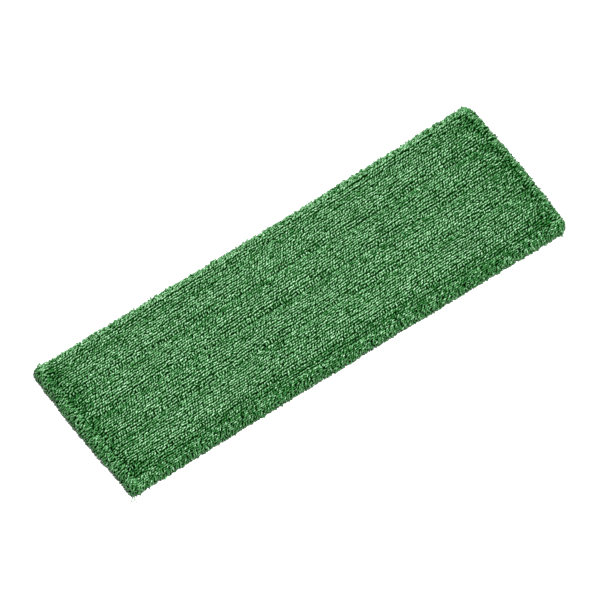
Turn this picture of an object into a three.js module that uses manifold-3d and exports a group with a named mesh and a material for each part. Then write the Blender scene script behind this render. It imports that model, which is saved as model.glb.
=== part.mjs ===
// A flat floor mop: a microfibre loop-pile pad that fastens to a mop plate by its hook-and-loop back.
// Millimetres. The pad lies on its back with the pile up. X runs along the pad, Y across it, and Z is up.
// The origin is the centre of the back face, the flat face that meets the mop plate.
import * as THREE from "three";
import { mergeVertices } from "three/addons/utils/BufferGeometryUtils.js";
import Module from "manifold-3d";

const wasm = await Module();
wasm.setup();

// Driving dimensions of the finished pad, from pile tip to pile tip.
const LENGTH = 420;
const WIDTH = 136;
const CORNER_RADIUS = 7;
const END_BULGE = 2.2; // how far the middle of an end stands past its corners
const SIDE_PULL_IN = 2.2; // how far the middle of a long side is drawn in from its corners

// Layers, from the back up.
const BACKING_TOP = 1.6;
const CORE_TOP = 4.6;
const GROUND_TOP = 5.4; // top of the knitted ground that carries the pile loops
const PILE_VALLEY = 9.6; // pile beside a seam
const PILE_CREST = 13;
const PILE_FOOT = 1; // lowest pile loops on the turned edge
const PILE_ROUND = 5; // radius of the pile where it rolls over an edge
const PILE_SLOPE = 9; // distance from a seam over which the pile rises to its crest

// Cut edges of the layers, measured in from the pile tips, and the overcast edge outside them.
const LAYER_INSET = 8.3;
const EDGE_OUTER = 5;
const EDGE_INNER = 8;
const EDGE_FOOT = 0.5;
const EDGE_TOP = 5.2;
const EDGE_THREAD_INSET = 7.1; // outer side of the needle thread that holds the overcasting
const EDGE_GAP = 0.3; // clearance round each piece that another one is cut for

// Seams: one seam runs round the pad, and three quilting seams run along it.
const END_SEAM_INSET = 12.5; // from the pile tips of an end
const BORDER_WIDTH = 106.4; // between the long sides of the border seam
const BORDER_MIDDLE = 1.6; // the border seam stands this far off the middle of the pad, towards +Y
const QUILT_PITCH = 25; // between neighbouring quilting seams
const QUILT_MIDDLE = 3.2; // and the middle one of them this far
const QUILT_ROWS = [-1, 0, 1];
const SEAM_CORNER = 4;
const THREAD_WIDTH = 0.9;
const THREAD_HEIGHT = 0.5;
const SLOT_WIDTH = 2.2; // the parting in the pile along a seam
const GROOVE_WIDTH = 1.5; // the dent that the bobbin thread pulls in the back
const GROOVE_TOP = 1;

// Care label, sewn into one end and folded flat under the back.
const LABEL_LENGTH = 38;
const LABEL_WIDTH = 24;
const LABEL_THICKNESS = 0.35;
const LABEL_BOTTOM = 0.05;
const LABEL_Y = -20;
const LABEL_HINGE_INSET = 6.5; // from the pile tips of the end
const LABEL_DENT_TOP = 0.45;
const LABEL_DENT_MARGIN = 1.5;

const CUT = 30; // how far a cutting tool runs past the pad

const borderX = LENGTH / 2 - END_SEAM_INSET;
const borderY = BORDER_WIDTH / 2;
const quiltYs = QUILT_ROWS.map((row) => QUILT_MIDDLE + row * QUILT_PITCH);

// Outline of the pad in plan, drawn in by inset from the pile tips.
function padOutline(inset) {
  const x = LENGTH / 2 - END_BULGE - inset;
  const y = WIDTH / 2 - inset;
  const r = Math.max(CORNER_RADIUS - inset, 2);
  // A quadratic curve passes halfway to its control point.
  const sideY = y - 2 * SIDE_PULL_IN;
  const endX = x + 2 * END_BULGE;
  return new THREE.Shape()
    .moveTo(-x + r, -y)
    .quadraticCurveTo(0, -sideY, x - r, -y)
    .quadraticCurveTo(x, -y, x, -y + r)
    .quadraticCurveTo(endX, 0, x, y - r)
    .quadraticCurveTo(x, y, x - r, y)
    .quadraticCurveTo(0, sideY, -x + r, y)
    .quadraticCurveTo(-x, y, -x, y - r)
    .quadraticCurveTo(-endX, 0, -x, -y + r)
    .quadraticCurveTo(-x, -y, -x + r, -y);
}

// Rectangle with round corners, centred on the origin, of half sizes x and y.
function roundedRectangle(x, y, r) {
  return new THREE.Shape()
    .moveTo(-x + r, -y)
    .lineTo(x - r, -y)
    .absarc(x - r, -y + r, r, -Math.PI / 2, 0)
    .lineTo(x, y - r)
    .absarc(x - r, y - r, r, 0, Math.PI / 2)
    .lineTo(-x + r, y)
    .absarc(-x + r, y - r, r, Math.PI / 2, Math.PI)
    .lineTo(-x, -y + r)
    .absarc(-x + r, -y + r, r, Math.PI, 1.5 * Math.PI);
}

// Shape with a hole of the other shape's outline.
function withHole(shape, hole) {
  shape.holes.push(hole);
  return shape;
}

// Upright prism of a shape between two heights.
function prism(shape, bottom, top, segments = 10) {
  const settings = { depth: top - bottom, bevelEnabled: false, curveSegments: segments };
  return new THREE.ExtrudeGeometry(shape, settings).translate(0, 0, bottom);
}

// Box given by its middle in plan, its size in plan and its two heights.
function block(x, y, lengthX, lengthY, bottom, top) {
  return new THREE.BoxGeometry(lengthX, lengthY, top - bottom).translate(x, y, (bottom + top) / 2);
}

// Band of the given width along the border seam.
function borderBand(width, bottom, top) {
  const half = width / 2;
  const outer = roundedRectangle(borderX + half, borderY + half, SEAM_CORNER + half);
  const inner = roundedRectangle(borderX - half, borderY - half, SEAM_CORNER - half);
  return prism(withHole(outer, inner), bottom, top, 6).translate(0, BORDER_MIDDLE, 0);
}

// Straight bar along one quilting seam, ending short of the border seam.
function quiltBar(y, width, bottom, top, endGap) {
  return block(0, y, 2 * (borderX - endGap), width, bottom, top);
}

// Ring that follows the pad's edge between two insets.
function edgeRing(outerInset, innerInset, bottom, top) {
  return prism(withHole(padOutline(outerInset), padOutline(innerInset)), bottom, top);
}

// Distance from a point in plan to the nearest seam.
function seamDistance(x, y) {
  const pastEnd = Math.abs(x) - borderX;
  const pastSide = Math.abs(y - BORDER_MIDDLE) - borderY;
  if (pastEnd > 0 || pastSide > 0) {
    return Math.hypot(Math.max(pastEnd, 0), Math.max(pastSide, 0));
  }
  const toQuilt = Math.min(...quiltYs.map((seamY) => Math.abs(y - seamY)));
  return Math.min(-pastEnd, -pastSide, toQuilt);
}

// Height of the pile's tips at a point in plan: low at the seams and full between them.
function pileHeight(x, y) {
  const rise = Math.min(seamDistance(x, y) / PILE_SLOPE, 1);
  return PILE_VALLEY + (PILE_CREST - PILE_VALLEY) * (1 - (1 - rise) ** 2);
}

// Grid lines from the middle of the pad outwards, closer together where the pile changes height.
function gridLines(half, seams) {
  const offsets = [0, PILE_SLOPE / 4, PILE_SLOPE / 2, PILE_SLOPE];
  const lines = new Set([-half, half]);
  for (const seam of seams) {
    for (const offset of offsets) {
      lines.add(Math.max(seam - offset, -half));
      lines.add(Math.min(seam + offset, half));
    }
  }
  return [...lines].sort((a, b) => a - b);
}

// Closed solid under the pile's tips, wider than the pad and flat below.
function pileMound() {
  const seamYs = [BORDER_MIDDLE - borderY, ...quiltYs, BORDER_MIDDLE + borderY];
  const xs = gridLines(LENGTH / 2 + 1, [-borderX, borderX]);
  const ys = gridLines(WIDTH / 2 + 1, seamYs);
  const across = ys.length;
  const count = xs.length * across;
  const points = [];
  for (const top of [false, true]) {
    for (const x of xs) {
      for (const y of ys) points.push(x, y, top ? pileHeight(x, y) : 0);
    }
  }
  const faces = [];
  const quad = (a, b, c, d) => faces.push(a, b, c, a, c, d);
  for (let i = 0; i < xs.length - 1; i++) {
    for (let j = 0; j < across - 1; j++) {
      const corner = i * across + j;
      quad(corner, corner + 1, corner + across + 1, corner + across);
      quad(count + corner, count + corner + across, count + corner + across + 1, count + corner + 1);
    }
  }
  for (let i = 0; i < xs.length - 1; i++) {
    const low = i * across;
    const high = low + across - 1;
    quad(low, low + across, count + low + across, count + low);
    quad(high + across, high, count + high, count + high + across);
  }
  const last = (xs.length - 1) * across;
  for (let j = 0; j < across - 1; j++) {
    quad(j + 1, j, count + j, count + j + 1);
    quad(last + j, last + j + 1, count + last + j + 1, count + last + j);
  }
  const geometry = new THREE.BufferGeometry();
  geometry.setAttribute("position", new THREE.Float32BufferAttribute(points, 3));
  geometry.setIndex(faces);
  return geometry;
}

// Slab with the pad's outline whose edge is rounded top and bottom.
function roundedSlab() {
  const settings = {
    depth: PILE_CREST + 1 - PILE_FOOT - 2 * PILE_ROUND,
    bevelEnabled: true,
    bevelThickness: PILE_ROUND,
    bevelSize: PILE_ROUND,
    bevelOffset: -PILE_ROUND,
    bevelSegments: 4,
    curveSegments: 10,
  };
  return new THREE.ExtrudeGeometry(padOutline(0), settings).translate(0, 0, PILE_FOOT + PILE_ROUND);
}

// A geometry as a solid that can be joined and cut.
function solid(geometry) {
  const bare = geometry.clone();
  bare.deleteAttribute("normal");
  bare.deleteAttribute("uv");
  const merged = mergeVertices(bare, 1e-4);
  return new wasm.Manifold(
    new wasm.Mesh({
      numProp: 3,
      vertProperties: new Float32Array(merged.attributes.position.array),
      triVerts: new Uint32Array(merged.index.array),
    }),
  );
}

function geometryOf(made) {
  const mesh = made.getMesh();
  const geometry = new THREE.BufferGeometry();
  geometry.setAttribute("position", new THREE.BufferAttribute(mesh.vertProperties, 3));
  geometry.setIndex(new THREE.BufferAttribute(mesh.triVerts, 1));
  geometry.computeVertexNormals();
  return geometry;
}

// First geometry less all the others.
function cutFrom(geometry, tools) {
  return tools.reduce((left, tool) => left.subtract(solid(tool)), solid(geometry));
}

function pileCloth() {
  const body = solid(pileMound()).intersect(solid(roundedSlab()));
  const tools = [
    prism(padOutline(EDGE_OUTER - EDGE_GAP), -CUT, CORE_TOP),
    edgeRing(EDGE_OUTER - EDGE_GAP, EDGE_INNER + EDGE_GAP, 0, EDGE_TOP + EDGE_GAP),
    borderBand(SLOT_WIDTH, GROUND_TOP, CUT),
    ...quiltYs.map((y) => quiltBar(y, SLOT_WIDTH, GROUND_TOP, CUT, 0)),
  ];
  return geometryOf(tools.reduce((left, tool) => left.subtract(solid(tool)), body));
}

function loopBacking() {
  const hingeX = LENGTH / 2 - LABEL_HINGE_INSET;
  const dentLength = LABEL_LENGTH + 2 * LABEL_DENT_MARGIN;
  const dentX = hingeX - LABEL_LENGTH / 2;
  const dentWidth = LABEL_WIDTH + 2 * LABEL_DENT_MARGIN;
  const tools = [
    borderBand(GROOVE_WIDTH, -CUT, GROOVE_TOP),
    ...quiltYs.map((y) => quiltBar(y, GROOVE_WIDTH, -CUT, GROOVE_TOP, 0)),
    block(dentX, LABEL_Y, dentLength, dentWidth, -CUT, LABEL_DENT_TOP),
  ];
  return geometryOf(cutFrom(prism(padOutline(LAYER_INSET), 0, BACKING_TOP), tools));
}

function careLabel() {
  const x = LENGTH / 2 - LABEL_HINGE_INSET - LABEL_LENGTH / 2;
  return block(x, LABEL_Y, LABEL_LENGTH, LABEL_WIDTH, LABEL_BOTTOM, LABEL_BOTTOM + LABEL_THICKNESS);
}

const pileGreen = new THREE.MeshStandardMaterial({ color: 0x4e8a55, roughness: 0.75, metalness: 0 });
const backingGrey = new THREE.MeshStandardMaterial({ color: 0xb9c2bb, roughness: 0.95, metalness: 0 });
const feltWhite = new THREE.MeshStandardMaterial({ color: 0xe6e6e0, roughness: 1, metalness: 0 });
const threadGreen = new THREE.MeshStandardMaterial({ color: 0x3c7a46, roughness: 0.5, metalness: 0 });
const labelWhite = new THREE.MeshStandardMaterial({ color: 0xf2f2ee, roughness: 0.45, metalness: 0 });

const pad = new THREE.Group();

function addMesh(name, geometry, material) {
  const mesh = new THREE.Mesh(geometry, material);
  mesh.name = name;
  pad.add(mesh);
}

addMesh("pile_cloth", pileCloth(), pileGreen);
addMesh("absorbent_core", prism(padOutline(LAYER_INSET), BACKING_TOP, CORE_TOP), feltWhite);
addMesh("loop_backing", loopBacking(), backingGrey);

// Each lockstitch seam has a needle thread on the pile side and a bobbin thread on the back.
const needleTop = GROUND_TOP + THREAD_HEIGHT;
const bobbinBottom = GROOVE_TOP - THREAD_HEIGHT;
const endGap = THREAD_WIDTH / 2 + EDGE_GAP;
addMesh("border_needle_thread", borderBand(THREAD_WIDTH, GROUND_TOP, needleTop), threadGreen);
addMesh("border_bobbin_thread", borderBand(THREAD_WIDTH, bobbinBottom, GROOVE_TOP), threadGreen);
quiltYs.forEach((y, index) => {
  const needle = quiltBar(y, THREAD_WIDTH, GROUND_TOP, needleTop, endGap);
  const bobbin = quiltBar(y, THREAD_WIDTH, bobbinBottom, GROOVE_TOP, endGap);
  addMesh(`quilt_needle_thread_${index + 1}`, needle, threadGreen);
  addMesh(`quilt_bobbin_thread_${index + 1}`, bobbin, threadGreen);
});

// The overcast edge: one looper thread lies over it and the other under it, and a needle thread holds both.
const edgeLow = (EDGE_FOOT + EDGE_TOP - THREAD_HEIGHT) / 2;
const edgeHigh = edgeLow + THREAD_HEIGHT;
const edgeNeedle = edgeRing(EDGE_THREAD_INSET, EDGE_INNER, edgeLow, edgeHigh);
addMesh("overlock_upper_thread", edgeRing(EDGE_OUTER, EDGE_INNER, edgeHigh, EDGE_TOP), threadGreen);
addMesh("overlock_lower_thread", edgeRing(EDGE_OUTER, EDGE_INNER, EDGE_FOOT, edgeLow), threadGreen);
addMesh("overlock_needle_thread", edgeNeedle, threadGreen);

addMesh("care_label", careLabel(), labelWhite);

export default pad;
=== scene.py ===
"""The looks of a flat mop pad: looped microfibre pile, quilting, backing, sewing and care label.

Lengths are in millimetres until a mesh is made. Every piece but the label's ribbon is laid out on a straight
rectangle, and warp_plan() then gives it the drawn-in sides, bulging ends and slight wander of the real pad.
"""

import bpy
import numpy as np
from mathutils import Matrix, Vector


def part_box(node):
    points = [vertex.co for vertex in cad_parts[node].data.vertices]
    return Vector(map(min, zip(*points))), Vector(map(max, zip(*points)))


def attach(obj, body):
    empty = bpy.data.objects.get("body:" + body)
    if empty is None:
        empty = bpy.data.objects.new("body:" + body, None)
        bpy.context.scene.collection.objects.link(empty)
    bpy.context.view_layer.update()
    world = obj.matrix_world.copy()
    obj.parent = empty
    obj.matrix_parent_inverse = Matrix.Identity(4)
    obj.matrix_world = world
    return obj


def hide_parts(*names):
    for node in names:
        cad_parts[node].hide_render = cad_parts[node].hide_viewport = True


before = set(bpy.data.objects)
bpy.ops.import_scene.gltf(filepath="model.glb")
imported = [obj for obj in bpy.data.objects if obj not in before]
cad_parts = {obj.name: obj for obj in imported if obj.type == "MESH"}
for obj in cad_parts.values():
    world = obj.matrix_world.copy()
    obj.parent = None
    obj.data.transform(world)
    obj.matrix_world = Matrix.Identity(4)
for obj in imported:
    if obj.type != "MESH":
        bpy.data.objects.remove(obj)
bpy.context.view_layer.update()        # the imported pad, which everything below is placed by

MM = 0.001


def box_mm(node):
    """Lowest and highest corner of a CAD node in millimetres."""
    low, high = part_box(node)
    return np.array(low) / MM, np.array(high) / MM


# ---- Sizes that model.glb gives ----

pile_high = box_mm("pile_cloth")[1]
backing_high = box_mm("loop_backing")[1]
border_low, border_high = box_mm("border_needle_thread")
label_low, label_high = box_mm("care_label")
quilt_boxes = [box_mm(f"quilt_needle_thread_{k}") for k in (1, 2, 3)]

QUILT_YS = [(low[1] + high[1]) / 2 for low, high in quilt_boxes]
THREAD = quilt_boxes[0][1][1] - quilt_boxes[0][0][1]
BORDER_X = border_high[0] - THREAD / 2
BORDER_YS = (border_low[1] + THREAD / 2, border_high[1] - THREAD / 2)
BORDER_MIDDLE = (BORDER_YS[0] + BORDER_YS[1]) / 2
BORDER_HALF = (BORDER_YS[1] - BORDER_YS[0]) / 2
SEAM_YS = [BORDER_YS[0], *QUILT_YS, BORDER_YS[1]]
GROUND_Z = border_low[2]
PILE_CREST = pile_high[2]
BACK_TOP = backing_high[2]

# ---- Sizes of the cloth itself ----

END_BULGE = 2.2        # how far the middle of an end stands past its corners
NEAR_PULL_IN = 1.2     # how far the middle of the -Y side is drawn in from its corners
FAR_PULL_IN = 1.9      # the same for the +Y side
FAR_SPREAD = 1.0       # how far all of that side spreads past the straight rectangle
LEFT_TAKE_UP = 1.6     # how far the sewing draws in the -X end
CORNER_KNOB = 1.1      # how far the -X, +Y corner stands out
CORNER_NOTCH = 1.1     # how deep the notch beside it is
CORNER_POINT = 1.8     # how far the -X, -Y corner stands out
HALF_LENGTH = pile_high[0] - END_BULGE
HALF_WIDTH = pile_high[1]
EDGE_REACH = 7.1       # from the flat of the ground cloth to the pile tips outside it
EDGE_ROLL = 2.4        # radius at which the ground cloth turns down over the edge
CORNER = 0.8           # corner radius of the flat of the ground cloth
FLAT_X = HALF_LENGTH - EDGE_REACH
FLAT_Y = HALF_WIDTH - EDGE_REACH
QUILT_VALLEY = 3.0     # how far the tips dip at a quilting seam
QUILT_SLOPE = 8.5      # distance from it over which they rise again
SIDE_VALLEY = 1.3      # the same for the border seam along the sides
SIDE_SLOPE = 6.0
END_VALLEY = 1.2       # and across the ends
END_SLOPE = 7.0
LINE_PITCH = 2.08      # between neighbouring lines of loops
PAIRING = 0.04         # part of the pitch by which each line of a knit row nears the other
LOOP_PITCH = 2.45      # between neighbouring loops of a line
STAGGER = 0.25         # shift of every other line along the pad, in loop pitches
YARN_RADIUS = 0.46
SEAM_CORNER = 4.0      # corner radius of the border seam
STITCH = 3.0           # length of a sewing stitch
THREAD_RADIUS = 0.26


# ---- Random fields and plan shapes ----

def grid(xs, ys):
    return np.meshgrid(xs, ys, indexing="ij")


def read_grid(values, i, j, a, b):
    """A value read between grid lines, a of the way from line i to the next and b from line j."""
    low = values[i, j] * (1 - a) + values[i + 1, j] * a
    high = values[i, j + 1] * (1 - a) + values[i + 1, j + 1] * a
    return low * (1 - b) + high * b


def smooth_noise(x, y, cell_x, cell_y, seed):
    """Smooth random field from -1 to 1 with features of about cell_x by cell_y."""
    size = 128
    lattice = np.random.default_rng(seed).uniform(-1, 1, (size, size))
    u = np.asarray(x) / cell_x + size / 2
    v = np.asarray(y) / cell_y + size / 2
    i = np.clip(np.floor(u).astype(int), 0, size - 2)
    j = np.clip(np.floor(v).astype(int), 0, size - 2)
    a = np.clip(u - i, 0, 1)
    b = np.clip(v - j, 0, 1)
    a = a * a * (3 - 2 * a)
    b = b * b * (3 - 2 * b)
    return read_grid(lattice, i, j, a, b)


def hump(distance, width):
    """Bell-shaped weight, 1 where distance is 0."""
    return np.exp(-((distance / width) ** 2))


def warp_plan(points):
    """Points of the straight rectangle, moved to where the sewn pad has them."""
    x, y = points[..., 0], points[..., 1]
    across = np.clip(y / HALF_WIDTH, -1.05, 1.05)
    along = np.clip(x / HALF_LENGTH, -1.05, 1.05)
    bow = 1 - along**2
    pull_in = np.where(across > 0, FAR_PULL_IN * bow - FAR_SPREAD, -NEAR_PULL_IN * bow) * across**2
    wander = 0.7 * smooth_noise(x, y, 45, 30, 11) + 0.35 * smooth_noise(x, y, 16, 12, 12)
    edge_wander = 0.5 * smooth_noise(x, y, 14, 9, 13)
    bulge = END_BULGE * np.sign(x) * along**4 * (1 - across**2)
    taken_up = LEFT_TAKE_UP * along**4 * (x < 0)
    far_rim = hump(y - HALF_WIDTH, 12)
    knob = hump(x + HALF_LENGTH - 5, 9) * far_rim
    notch = hump(x + HALF_LENGTH - 20, 5.5) * far_rim
    point = hump(np.hypot(x + HALF_LENGTH, y + HALF_WIDTH), 9)
    moved = points.copy()
    moved[..., 0] = x + bulge + taken_up + edge_wander - 0.5 * knob - 1.6 * point
    straying = y - pull_in + wander * (1 - 0.5 * np.abs(across))
    moved[..., 1] = straying + CORNER_KNOB * knob - CORNER_NOTCH * notch - CORNER_POINT * point
    return moved


def past_border(x, y):
    """How far a point is beyond the border seam along X and Y, negative inside it."""
    return np.abs(x) - BORDER_X, np.abs(y - BORDER_MIDDLE) - BORDER_HALF


def quilt_distance(y):
    """Distance to the nearest quilting seam."""
    return np.min([np.abs(y - seam) for seam in QUILT_YS], axis=0)


def nearest_seam(y):
    """Where the nearest of the seams that run along the pad is."""
    seams = np.array(SEAM_YS)
    return seams[np.argmin(np.abs(y[..., None] - seams), axis=-1)]


def seam_distance(x, y):
    """Distance to the nearest seam of any kind."""
    past_end, past_side = past_border(x, y)
    outside = np.hypot(np.maximum(past_end, 0), np.maximum(past_side, 0))
    inside = np.minimum(np.minimum(-past_end, -past_side), quilt_distance(y))
    return np.where(np.maximum(past_end, past_side) > 0, outside, inside)


def dip(distance, depth, slope):
    """A valley that rounds out to nothing over the width of a slope."""
    return depth * np.maximum(1 - np.abs(distance) / slope, 0) ** 2


def tip_height(x, y):
    """Height of the pile's tips: low at the seams and full between them."""
    past_end, past_side = past_border(x, y)
    uneven = 0.85 + 0.4 * smooth_noise(x, y, 19, 24, 44)
    quilting = dip(quilt_distance(y), QUILT_VALLEY, QUILT_SLOPE) * uneven
    sides = dip(past_side, SIDE_VALLEY, SIDE_SLOPE)
    ends = dip(past_end, END_VALLEY, END_SLOPE)
    return PILE_CREST - np.maximum(np.maximum(quilting, sides), ends)


def label_cover(x, y):
    """1 over the care label and outward of it, fading to 0 round that."""
    past_x = np.maximum(label_low[0] - x, 0)
    past_y = np.maximum(np.maximum(label_low[1] - y, y - label_high[1]), 0)
    return 1 - np.clip(np.hypot(past_x, past_y) / 3 - 0.5, 0, 1)


def ring_points(half_x, half_y, radius, pitch, reach=0.0, middle_y=0.0):
    """Points at an even pitch round a rounded rectangle, and the outward directions at them.

    The pitch is measured this reach outside the rectangle, so the points themselves crowd at its corners.
    """
    x, y = half_x - radius, half_y - radius
    arc = (radius + reach) * np.pi / 2
    sides = [2 * y, arc, 2 * x, arc] * 2
    total = sum(sides)
    count = int(round(total / pitch))
    corners = [(x, y), (-x, y), (-x, -y), (x, -y)]
    places, outs = [], []
    for s in np.arange(count) * total / count:
        side = 0
        while s > sides[side]:
            s -= sides[side]
            side += 1
        turn, on_arc = divmod(side, 2)
        angle = turn * np.pi / 2 + (s / arc * np.pi / 2 if on_arc else 0)
        out = np.array([np.cos(angle), np.sin(angle)])
        place = np.array(corners[turn]) + radius * out
        if not on_arc:
            place = place - (sides[side] - s) * np.array([-out[1], out[0]])
        places.append(place + (0, middle_y))
        outs.append(out)
    return np.array(places), np.array(outs)


# ---- Meshes ----

UP = np.array([[[0.0, 0.0, 1.0]]])


def add_object(name, data):
    made = bpy.data.objects.new(name, data)
    bpy.context.scene.collection.objects.link(made)
    return made


def make_piece(name, points, quads, material, node, uvs, values=None, body="pad"):
    """A smooth piece of four-sided faces, which rides on a body and stands for a CAD node."""
    mesh = bpy.data.meshes.new(name)
    mesh.vertices.add(len(points))
    mesh.vertices.foreach_set("co", (points * MM).astype(np.float32).ravel())
    mesh.loops.add(quads.size)
    mesh.loops.foreach_set("vertex_index", quads.astype(np.int32).ravel())
    mesh.polygons.add(len(quads))
    mesh.polygons.foreach_set("loop_start", np.arange(0, quads.size, 4, dtype=np.int32))
    mesh.update(calc_edges=True)
    mesh.validate()
    mesh.shade_smooth()
    for layer_name, layer_uvs in uvs.items():
        layer = mesh.uv_layers.new(name=layer_name)
        layer.data.foreach_set("uv", layer_uvs.astype(np.float32).ravel())
    for value_name, numbers in (values or {}).items():
        attribute = mesh.attributes.new(value_name, "FLOAT", "POINT")
        attribute.data.foreach_set("value", numbers.astype(np.float32).ravel())
    mesh.materials.append(material)
    piece = add_object(name, mesh)
    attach(piece, body)
    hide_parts(node)


def grid_quads(rows, columns):
    """Faces of a grid of points, rows by columns, facing +Z when rows run along X and columns along Y."""
    corner = (np.arange(rows - 1)[:, None] * columns + np.arange(columns - 1)).ravel()
    return np.stack([corner, corner + columns, corner + columns + 1, corner + 1], axis=1)


def make_sheet(name, top, bottom, material, node, body="pad"):
    """A closed cloth of two grids of points, upper and lower, joined round their rim."""
    rows, columns = top.shape[:2]
    count = rows * columns
    upper = grid_quads(rows, columns)
    lower = upper[:, ::-1] + count
    index = np.arange(count).reshape(rows, columns)
    rim = np.concatenate([index[:, 0], index[-1, 1:], index[-2::-1, -1], index[0, -2:0:-1]])
    after = np.roll(rim, -1)
    sides = np.stack([rim + count, after + count, after, rim], axis=1)
    u, v = grid(np.linspace(0, 1, rows), np.linspace(0, 1, columns))
    flat = np.stack([u, v], axis=-1).reshape(-1, 2)
    places = np.concatenate([flat * (0.98, 0.47) + (0.01, 0.52), flat * (0.98, 0.47) + (0.01, 0.01)])
    quads = np.concatenate([upper, lower, sides])
    points = np.concatenate([top.reshape(-1, 3), bottom.reshape(-1, 3)])
    make_piece(name, points, quads, material, node, {"OFBake": places[quads]}, body=body)


def unit(vectors):
    return vectors / np.maximum(np.linalg.norm(vectors, axis=-1, keepdims=True), 1e-9)


def tube_points(paths, across, radii, flatness, twist, sides=6):
    """Rings of points round many paths at once: paths is (tubes, steps, 3) and across a direction per tube.

    A ring is an oval, and twist turns it by that much at each step, as the plies of a yarn turn.
    """
    along = unit(np.gradient(paths, axis=1))
    normal = unit(np.cross(across, along))
    side = np.cross(along, normal)
    steps = np.arange(paths.shape[1])[None, :, None]
    around = 2 * np.pi * np.arange(sides) / sides
    oval = 1 + flatness * np.cos(2 * (around[None, None, :] - twist[:, None, None] * steps))
    reach = (radii[..., None] * oval)[..., None]
    circle = (
        np.cos(around)[None, None, :, None] * normal[:, :, None, :]
        + np.sin(around)[None, None, :, None] * side[:, :, None, :]
    )
    return paths[:, :, None, :] + reach * circle


def tube_quads(tubes, steps, sides=6):
    """Faces of closed-ended tubes whose points are numbered tube by tube and ring by ring."""
    ring = np.arange(sides)
    after = np.roll(ring, -1)
    i = np.arange(steps - 1)[:, None] * sides
    wall = np.stack([i + ring, i + after, i + sides + after, i + sides + ring], axis=-1)
    fan = np.arange(sides - 1, 1, -2)
    first = np.stack([0 * fan, fan, fan - 1, fan - 2], axis=1)
    last = first[:, ::-1] + (steps - 1) * sides
    one = np.concatenate([wall.reshape(-1, 4), first, last])
    starts = np.arange(tubes) * steps * sides
    return (starts[:, None, None] + one[None]).reshape(-1, 4)


def tube_uvs(tubes, steps, lengths, sides=6):
    """A bake map with a cell for each tube, and the yarn map: millimetres along by turns round."""
    i = np.repeat(np.arange(steps - 1), sides)
    j = np.tile(np.arange(sides), steps - 1)
    along = np.stack([i, i, i + 1, i + 1], axis=1) / (steps - 1)
    around = np.stack([j, j + 1, j + 1, j], axis=1) / sides
    caps = sides // 2 - 1
    cap = np.array([[0.0, 0.0, 0.02, 0.02]] * caps + [[0.98, 0.98, 1.0, 1.0]] * caps)
    along = np.concatenate([along, cap])
    around = np.concatenate([around, np.array([[0.0, 0.1, 0.1, 0.0]] * 2 * caps)])
    columns = int(np.ceil(np.sqrt(tubes)))
    tube = np.arange(tubes)
    cell = np.stack([tube % columns, tube // columns], axis=1)[:, None, None, :]
    bake = (cell + 0.08 + 0.84 * np.stack([along, around], axis=-1)[None]) / columns
    along_mm = along[None] * lengths[:, None, None]
    yarn = np.stack([along_mm, np.broadcast_to(around, along_mm.shape)], axis=-1)
    return {"OFBake": bake, "yarn": yarn}


def make_tubes(name, paths, radii, material, node, across=UP,
               flatness=0.12, twist=0.7, sides=6, values=None, body="pad"):
    """One piece of many closed tubes of yarn or thread."""
    count, steps = paths.shape[:2]
    rings = tube_points(paths, across, radii, flatness, np.broadcast_to(twist, (count,)), sides)
    lengths = np.sum(np.linalg.norm(np.diff(paths, axis=1), axis=2), axis=1)
    shape = (count, steps, sides)
    spread = {key: np.broadcast_to(numbers[..., None], shape) for key, numbers in (values or {}).items()}
    points = warp_plan(rings).reshape(-1, 3)
    make_piece(name, points, tube_quads(count, steps, sides), material, node,
               tube_uvs(count, steps, lengths, sides), spread, body)


# ---- Materials ----

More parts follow.
